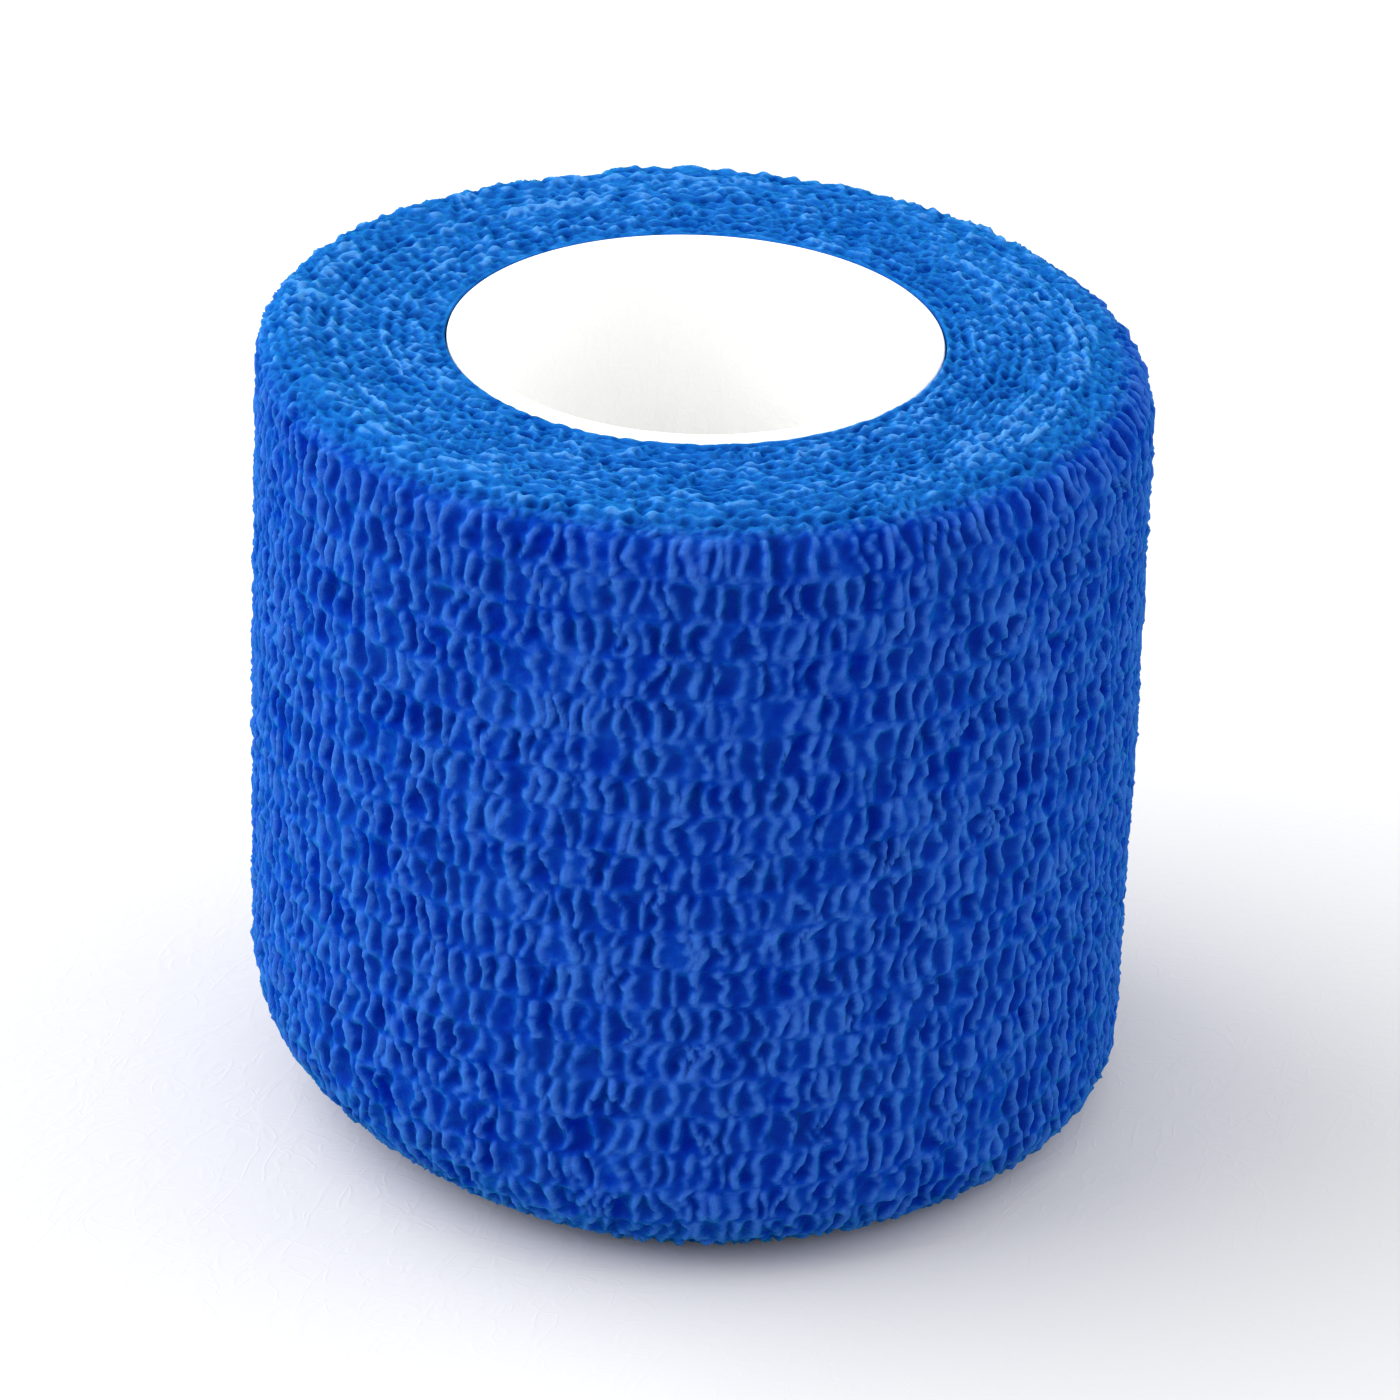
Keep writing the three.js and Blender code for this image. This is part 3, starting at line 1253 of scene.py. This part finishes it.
@dataclass(frozen=True)
class ProudEdges:
    """Broken raised streaks along the turns' edges on the top, paled with a painted highlight.

    Attributes:
        arcs: The streaks.
        width: Their half width.
        lift: How high they stand.
        taper: Share of a streak over which it fades at each end.
        waver: How far a streak strays from its course, in metres.
        broken: How much of it shows.
        seed: Picks how they waver and break.
    """

    arcs: tuple[EdgeArc, ...] = (
        EdgeArc(180, 206, 19.1 * MM, 18.6 * MM),
        EdgeArc(203, 222, 22.1 * MM, 22.0 * MM),
        EdgeArc(244, 251, 19.0 * MM, 18.7 * MM),
        EdgeArc(18, 39, 19.2 * MM, 18.9 * MM),
        EdgeArc(2, 28, 22.9 * MM, 22.1 * MM),
        EdgeArc(0, 34, 24.2 * MM, 23.6 * MM),
        EdgeArc(95, 131, 20.4 * MM, 20.9 * MM),
        EdgeArc(321, 335, 22.6 * MM, 22.9 * MM),
        EdgeArc(322, 331, 21.6 * MM, 21.4 * MM),
        EdgeArc(339, 348, 22.5 * MM, 22.3 * MM),
        EdgeArc(318, 327, 17.1 * MM, 17.5 * MM),
        EdgeArc(329, 336, 17.8 * MM, 18.3 * MM),
    )
    width: float = 0.2 * MM
    lift: float = 0.12 * MM
    taper: float = 0.15
    waver: Ripple = Ripple(0, 0, 0.14 * MM, 0.5)
    broken: Ripple = Ripple(40, 0.75, 0.9, 0.6)
    seed: int = 77

    def at(self, r: np.ndarray, azimuth: np.ndarray) -> np.ndarray:
        """Tell how far inside a streak places are.

        Args:
            r: Radius from the wall's axis.
            azimuth: Degrees from +X.

        Returns:
            1 along a streak's middle to 0 away from all.
        """
        most = np.zeros(np.shape(r))
        for k, arc in enumerate(self.arcs):
            t = np.mod(azimuth - arc.start, 360.0) / (arc.end - arc.start)
            place = np.radians(np.mod(azimuth, 360.0)) * r
            middle = arc.start_radius + (arc.end_radius - arc.start_radius) * t
            aside = r - middle - self.waver.at(self.seed + k, place)
            shown = np.clip(self.broken.at(self.seed + k, place), 0, 1)
            shown = shown * smooth_step(0.0, self.taper, np.minimum(t, 1 - t))
            most = np.maximum(most, shown * np.exp(-((aside / self.width) ** 2)))
        return most


@dataclass(frozen=True)
class Surface:
    """The roll's whole outside: its form with the crinkle of the wall and the crimped edges of both ends.

    Attributes:
        form: The roll's form.
        column_step: Distance between two columns of vertices on the wall.
        crinkle_middle: Height over the wall's mean radius at which a turn's length is taken.
        rim_width: Mean width of the round rim outside an end face.
        fray: Where the wall's crinkle gives way to the turns' edges, as distances from the rim.
        ragged: How far that strays from place to place, in metres.
        proud: The raised streaks on the top, paled with a painted highlight.
        arc_samples: Places round the roll at which its section is measured.
    """

    form: RollForm
    column_step: float = 0.135 * MM
    crinkle_middle: float = 0.5 * MM
    rim_width: float = 3 * MM
    fray: tuple[float, float] = (1.4 * MM, 2.9 * MM)
    ragged: Ripple = Ripple(20, 0, 0.5 * MM, 1.6, 1.6)
    proud: ProudEdges = ProudEdges()
    arc_samples: int = 64

    @property
    def length(self) -> float:
        """Length of one outer turn."""
        return 2 * math.pi * (self.form.roll_radius + self.crinkle_middle)

    @property
    def columns(self) -> int:
        """Columns of vertices round the roll."""
        return int(self.length / self.column_step)

    @property
    def mean_arc(self) -> float:
        """Mean length of the wall's section."""
        return float(self.form.arc(np.linspace(0, 1, self.arc_samples)).mean())

    @property
    def lace(self) -> Lace:
        """Lay out the crimped edges of the turns.

        Returns:
            The edges' pattern.
        """
        form = self.form
        face_width = form.roll_radius - self.rim_width - form.bore_radius
        return Lace(form.bore_radius, face_width / form.turns_on_top)

    def wall_points(self, share: np.ndarray, wound: np.ndarray) -> tuple[np.ndarray, np.ndarray]:
        """Place points on the crinkled wall.

        Args:
            share: 0 at the bottom rim to 1 at the top rim.
            wound: Share of a full circle from the strip's end.

        Returns:
            The points, and for each how high it lies and how far it is a turn's edge.
        """
        form = self.form
        puckers = Puckers(self.length, self.mean_arc / form.row_count, form.row_count)
        height, colour = puckers.relief(wound * self.length, share * self.mean_arc)
        edge = np.zeros_like(height)
        for upper in (True, False):
            away = np.where(upper, 1 - share, share) * self.mean_arc
            frayed = 1 - smooth_step(*self.fray, away + self.ragged.at(puckers.seed, wound, share))
            rim_r, _, _, _ = form.wall(np.full_like(wound, 1.0 if upper else 0.0), wound)
            turns_out = form.turns_at(rim_r, wound, upper) + away / self.lace.pitch
            edge_height, edge_colour = self.lace.relief(turns_out, wound)
            height = height + (edge_height - height) * frayed
            colour, edge = colour + (edge_colour - colour) * frayed, np.maximum(edge, frayed)
        r, z, out_r, out_z = form.wall(share, wound)
        z = np.maximum(z + height * out_z, REST_GAP)
        return form.place(r + height * out_r, form.azimuth_at(wound), z), np.column_stack([colour, edge])

    def face_points(
        self, share: np.ndarray, wound: np.ndarray, drop: np.ndarray, upper: bool
    ) -> tuple[np.ndarray, np.ndarray]:
        """Place points on a crimped end face.

        Args:
            share: 0 at the bore to 1 at the rim.
            wound: Share of a full circle from the strip's end.
            drop: How far each point is sunk into the roll, in metres.
            upper: True for the top, False for the bottom.

        Returns:
            The points, and for each how high it lies and how far it is a turn's edge.
        """
        form = self.form
        rim_r, rim_z, _, _ = form.wall(np.full_like(wound, 1.0 if upper else 0.0), wound)
        r = form.bore_radius + (rim_r - form.bore_radius) * share
        height, colour = self.lace.relief(form.turns_at(r, wound, upper), wound)
        # The streaks are lifted and painted up to the palest edge colour, a painted highlight along the
        # turns' edges.
        streak = self.proud.at(r, form.azimuth_at(wound)) if upper else 0.0
        height, colour = height + self.proud.lift * streak, colour + (1 - colour) * streak
        lift = (rim_z - form.strip_width) * share**form.rise_power
        z = form.strip_width + lift + height - drop if upper else np.maximum(drop - height, REST_GAP)
        return form.place(r, form.azimuth_at(wound), z), np.column_stack([colour, np.ones_like(colour)])


@dataclass
class OuterTurn:
    """The outermost turn of the strip, as bands that part along its threads.

    Attributes:
        surface: The roll's outside.
        samples: Where each row of cells is sampled, from thread to thread.
        rim_samples: The same for the two rows at the rims.
        bands: Each band's name, first row of cells and end row.
        slack: Length of cloth in a metre of the turn's wall, before the threads drew it in.
    """

    surface: Surface
    samples: tuple[float, ...] = (0.0, 0.08, 0.19, 0.33, 0.5, 0.67, 0.81, 0.92)
    rim_samples: tuple[float, ...] = tuple(k / 16 for k in range(16))
    bands: tuple[tuple[str, int, int], ...] = (
        ("outer_turn_lower", 0, 8),
        ("outer_turn_middle", 8, 15),
        ("outer_turn_upper", 15, 22),
    )
    slack: float = 1.5

    def build(self, material: bpy.types.Material) -> None:
        """Args:
            material: The cloth's finish.
        """
        surface = self.surface
        rows = surface.form.row_count
        for name, first, last in self.bands:
            lines = []
            for row in range(first, last):
                lines.extend(row + t for t in (self.rim_samples if row in (0, rows - 1) else self.samples))
            shares = np.array(lines + [float(last)]) / rows
            mesh, column, line = grid_mesh(name, surface.columns, len(lines))
            wound = column % surface.columns / surface.columns
            points, relief = surface.wall_points(shares[line], wound)
            lay_mesh(mesh, points, relief, closed=False)
            piece = add_piece(mesh, material, "bandage")
            flat = (surface.mean_arc * (last - first) / rows, surface.length * self.slack)


@dataclass
class EndFace:
    """The cut edges of the turns on one end of the roll, as one crimped surface.

    Attributes:
        surface: The roll's outside.
        name: The piece's name.
        upper: True for the top, False for the bottom.
        rows: Quads from the bore to the rim.
        hem: How far its inner edge turns down along the tube.
        hem_steps: Quads in that turned edge.
        hem_shade_share: Colour share down there, which paints shade where the edge turns down into the bore.
    """

    surface: Surface
    name: str
    upper: bool
    rows: int
    hem: float = 1.6 * MM
    hem_steps: int = 2
    hem_shade_share: float = 0.2

    def build(self, material: bpy.types.Material) -> bpy.types.Object:
        """Model the face.

        Args:
            material: The cloth's finish.

        Returns:
            The face's object.
        """
        columns = self.surface.columns
        mesh, column, row = grid_mesh(self.name, columns, self.rows + self.hem_steps)
        hems = np.clip(self.hem_steps - row, 0, self.hem_steps)
        share = np.clip((row - self.hem_steps) / self.rows, 0.0, 1.0)
        wound = column % columns / columns
        drop = hems / self.hem_steps * self.hem
        points, relief = self.surface.face_points(share, wound, drop, self.upper)
        # Painted shade on the hem that turns down into the bore.
        relief[hems > 0, 0] = self.hem_shade_share
        lay_mesh(mesh, points, relief, closed=False)
        if not self.upper:
            mesh.flip_normals()
        return add_piece(mesh, material, "bandage")


@dataclass
class WoundBody:
    """What lies under the outer turn and between the edges: a closed plain body of the turns.

    Attributes:
        form: The roll's form.
        inset: How far it lies under the roll's outside.
        columns: Quads round the roll.
        wall_steps: Quads up its wall.
    """

    form: RollForm
    inset: float = 1.3 * MM
    columns: int = 96
    wall_steps: int = 24

    def build(self, material: bpy.types.Material) -> bpy.types.Object:
        """Model the body as a closed band of quads round the section.

        Args:
            material: The cloth's finish.

        Returns:
            The body's object.
        """
        form = self.form
        # The section has the wall's points, then a corner at each end of the bore.
        corners = self.wall_steps + 3
        mesh, column, row = grid_mesh("wound_turns", self.columns, corners)
        wound = column % self.columns / self.columns
        place = row % corners
        r, z, out_r, out_z = form.wall(np.clip(place / self.wall_steps, 0, 1), wound)
        r, z = r - self.inset * out_r, np.maximum(z - self.inset * out_z, self.inset)
        r = np.where(place > self.wall_steps, form.bore_radius, r)
        z = np.where(place == self.wall_steps + 1, form.strip_width - self.inset, z)
        z = np.where(place == self.wall_steps + 2, self.inset, z)
        points = form.place(r, form.azimuth_at(wound), z)
        # Zero shares give the body the darkest pit colour, which is painted shade.
        lay_mesh(mesh, points, np.zeros((len(points), 2)), closed=True)
        return add_piece(mesh, material, "bandage")


@dataclass
class CoreTube:
    """The white tube that the strip is wound on.

    Attributes:
        form: The roll's form.
        segments: Quads round it.
        clearance: Room between the tube and the cloth.
        edge_radius: Radius of its rounded edges.
        edge_segments: Steps in that rounding.
        sharp_angle: Angle in radians between two faces past which their edge is rounded.
    """

    form: RollForm
    segments: int = 160
    clearance: float = 0.1 * MM
    edge_radius: float = 0.3 * MM
    edge_segments: int = 3
    sharp_angle: float = 1.0

    def build(self, material: bpy.types.Material) -> bpy.types.Object:
        """Spin the tube's section round its axis.

        Args:
            material: The tube's finish.

        Returns:
            The tube's object.
        """
        form = self.form
        low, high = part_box("core")
        middle = (low + high) / 2
        outer = form.bore_radius - self.clearance
        inner = form.bore_radius - form.core_gap - form.core_wall
        bm = bmesh.new()
        corners = [(outer, low.z), (outer, high.z), (inner, high.z), (inner, low.z)]
        verts = [bm.verts.new((middle.x + r, middle.y, z)) for r, z in corners]
        edges = [bm.edges.new((verts[k - 1], verts[k])) for k in range(len(verts))]
        bmesh.ops.spin(
            bm, geom=verts + edges, cent=(middle.x, middle.y, 0), axis=(0, 0, 1), angle=2 * math.pi,
            steps=self.segments, use_merge=True,
        )
        bmesh.ops.remove_doubles(bm, verts=bm.verts, dist=WELD)
        bmesh.ops.recalc_face_normals(bm, faces=bm.faces)
        sharp = [edge for edge in bm.edges if edge.is_manifold and edge.calc_face_angle(0) > self.sharp_angle]
        bmesh.ops.bevel(
            bm, geom=sharp, offset=self.edge_radius, offset_type="OFFSET", affect="EDGES",
            segments=self.edge_segments, profile=0.5, material=-1,
        )
        for face in bm.faces:
            face.smooth = True
        mesh = bpy.data.meshes.new("core_tube")
        bm.to_mesh(mesh)
        bm.free()
        return add_piece(mesh, material, "core")


@dataclass(frozen=True)
class SoftLight:
    """A soft square light that faces the roll.

    Attributes:
        name: Its name.
        azimuth: Degrees from +X to where it stands.
        elevation: Degrees over the floor.
        distance: How far it stands from the roll, in metres.
        size: Its side, in metres.
        strength: How strongly it lights a surface that faces it, in watts a square metre.
    """

    name: str
    azimuth: float
    elevation: float
    distance: float
    size: float
    strength: float

    def build(self, aim: Vector) -> None:
        """Add the light.

        Args:
            aim: The point that it faces.
        """
        data = bpy.data.lights.new(self.name, "AREA")
        data.shape = "SQUARE"
        data.size = self.size
        data.energy = self.strength * math.pi * self.distance**2
        light = bpy.data.objects.new(self.name, data)
        bpy.context.scene.collection.objects.link(light)
        turned, raised = math.radians(self.azimuth), math.radians(self.elevation)
        level = Vector((math.cos(turned), math.sin(turned), 0))
        way = level * math.cos(raised) + Vector((0, 0, math.sin(raised)))
        light.location = aim + way * self.distance
        light.rotation_euler = way.to_track_quat("Z", "Y").to_euler()


@dataclass
class Studio:
    """The floor, the lights and the camera.

    Attributes:
        distance: How far the camera stands from what it looks at, in metres.
        elevation: Degrees that it stands over the floor.
        roll: Degrees that it is turned about its line of sight.
        focal_pixels: Its focal length, in pixels of the photograph.
        image_pixels: Width of the photograph, in pixels.
        sensor_width: Width of its sensor, in millimetres.
        aim_height: Height over the floor of the point that the lights face.
        aim_right: How far to the right of that point the camera looks.
        aim_up: How far over it the camera looks.
        floor_size: Half the floor's side, in metres.
        sky: Strength of the light from all round.
        lights: The soft lights.
    """

    distance: float = 0.459
    elevation: float = 27.614
    roll: float = 1.943
    focal_pixels: float = 7442.2
    image_pixels: float = 1400.0
    sensor_width: float = 36.0
    aim_height: float = 25 * MM
    aim_right: float = 0.306 * MM
    aim_up: float = 0.145 * MM
    floor_size: float = 3.0
    sky: float = 1.0
    lights: tuple[SoftLight, ...] = (
        SoftLight("key", 171.0, 34.0, 0.95, 1.3, 5.7),
        SoftLight("fill", 12.0, 28.0, 0.95, 0.8, 1.1),
    )

    def build_camera(self) -> None:
        """Place the camera at the photograph's angle."""
        elevation, roll = math.radians(self.elevation), math.radians(self.roll)
        back = Vector((0, -math.cos(elevation), math.sin(elevation)))
        right = Vector((1, 0, 0))
        up = back.cross(right)
        turned_right = right * math.cos(roll) + up * math.sin(roll)
        turned_up = up * math.cos(roll) - right * math.sin(roll)
        data = bpy.data.cameras.new("camera")
        data.sensor_width = self.sensor_width
        data.lens = self.focal_pixels / self.image_pixels * data.sensor_width
        camera = bpy.data.objects.new("camera", data)
        bpy.context.scene.collection.objects.link(camera)
        aim = Vector((0, 0, self.aim_height)) + turned_right * self.aim_right + turned_up * self.aim_up
        pose = Matrix((turned_right, turned_up, back)).transposed().to_4x4()
        pose.translation = aim + back * self.distance
        camera.matrix_world = pose
        bpy.context.scene.camera = camera

    def build(self, floor_material: bpy.types.Material) -> None:
        """Set up everything that isn't the roll.

        Args:
            floor_material: The floor's finish.
        """
        self.build_camera()
        bm = bmesh.new()
        bmesh.ops.create_grid(bm, x_segments=1, y_segments=1, size=self.floor_size)
        mesh = bpy.data.meshes.new("floor")
        bm.to_mesh(mesh)
        bm.free()
        mesh.materials.append(floor_material)
        floor = bpy.data.objects.new("floor", mesh)
        bpy.context.scene.collection.objects.link(floor)
        for light in self.lights:
            light.build(Vector((0, 0, self.aim_height)))
        world = bpy.data.worlds.new("studio")
        world.use_nodes = True
        world.node_tree.nodes["Background"].inputs["Color"].default_value = (1, 1, 1, 1)
        world.node_tree.nodes["Background"].inputs["Strength"].default_value = self.sky
        bpy.context.scene.world = world
        bpy.context.scene.view_settings.view_transform = "Standard"


def main() -> None:
    """Build the roll piece by piece."""
    logging.basicConfig(level=logging.INFO, format="%(message)s")
    surface = Surface(RollForm())
    cloth = ClothFinish().build()
    tube = PaleFinish(
        name="core_tube",
        light=(0.98, 0.98, 0.97, 1.0),
        dark=(0.96, 0.96, 0.95, 1.0),
        roughness=(0.4, 0.55),
        patch_scale=150.0,
        grain=Grain(scale=900.0, height=0.02 * MM, strength=0.4),
    )
    floor = PaleFinish(
        name="floor",
        light=(0.67, 0.67, 0.67, 1.0),
        dark=(0.65, 0.65, 0.65, 1.0),
        roughness=(0.8, 0.95),
        patch_scale=12.0,
        grain=Grain(scale=400.0, height=0.02 * MM, strength=0.4),
    )
    Studio().build(floor.build())
    OuterTurn(surface).build(cloth)
    EndFace(surface, "upper_edges", upper=True, rows=74).build(cloth)
    EndFace(surface, "lower_edges", upper=False, rows=48).build(cloth)
    WoundBody(surface.form).build(cloth)
    CoreTube(surface.form).build(tube.build())


if __name__ == "__main__":
    main()
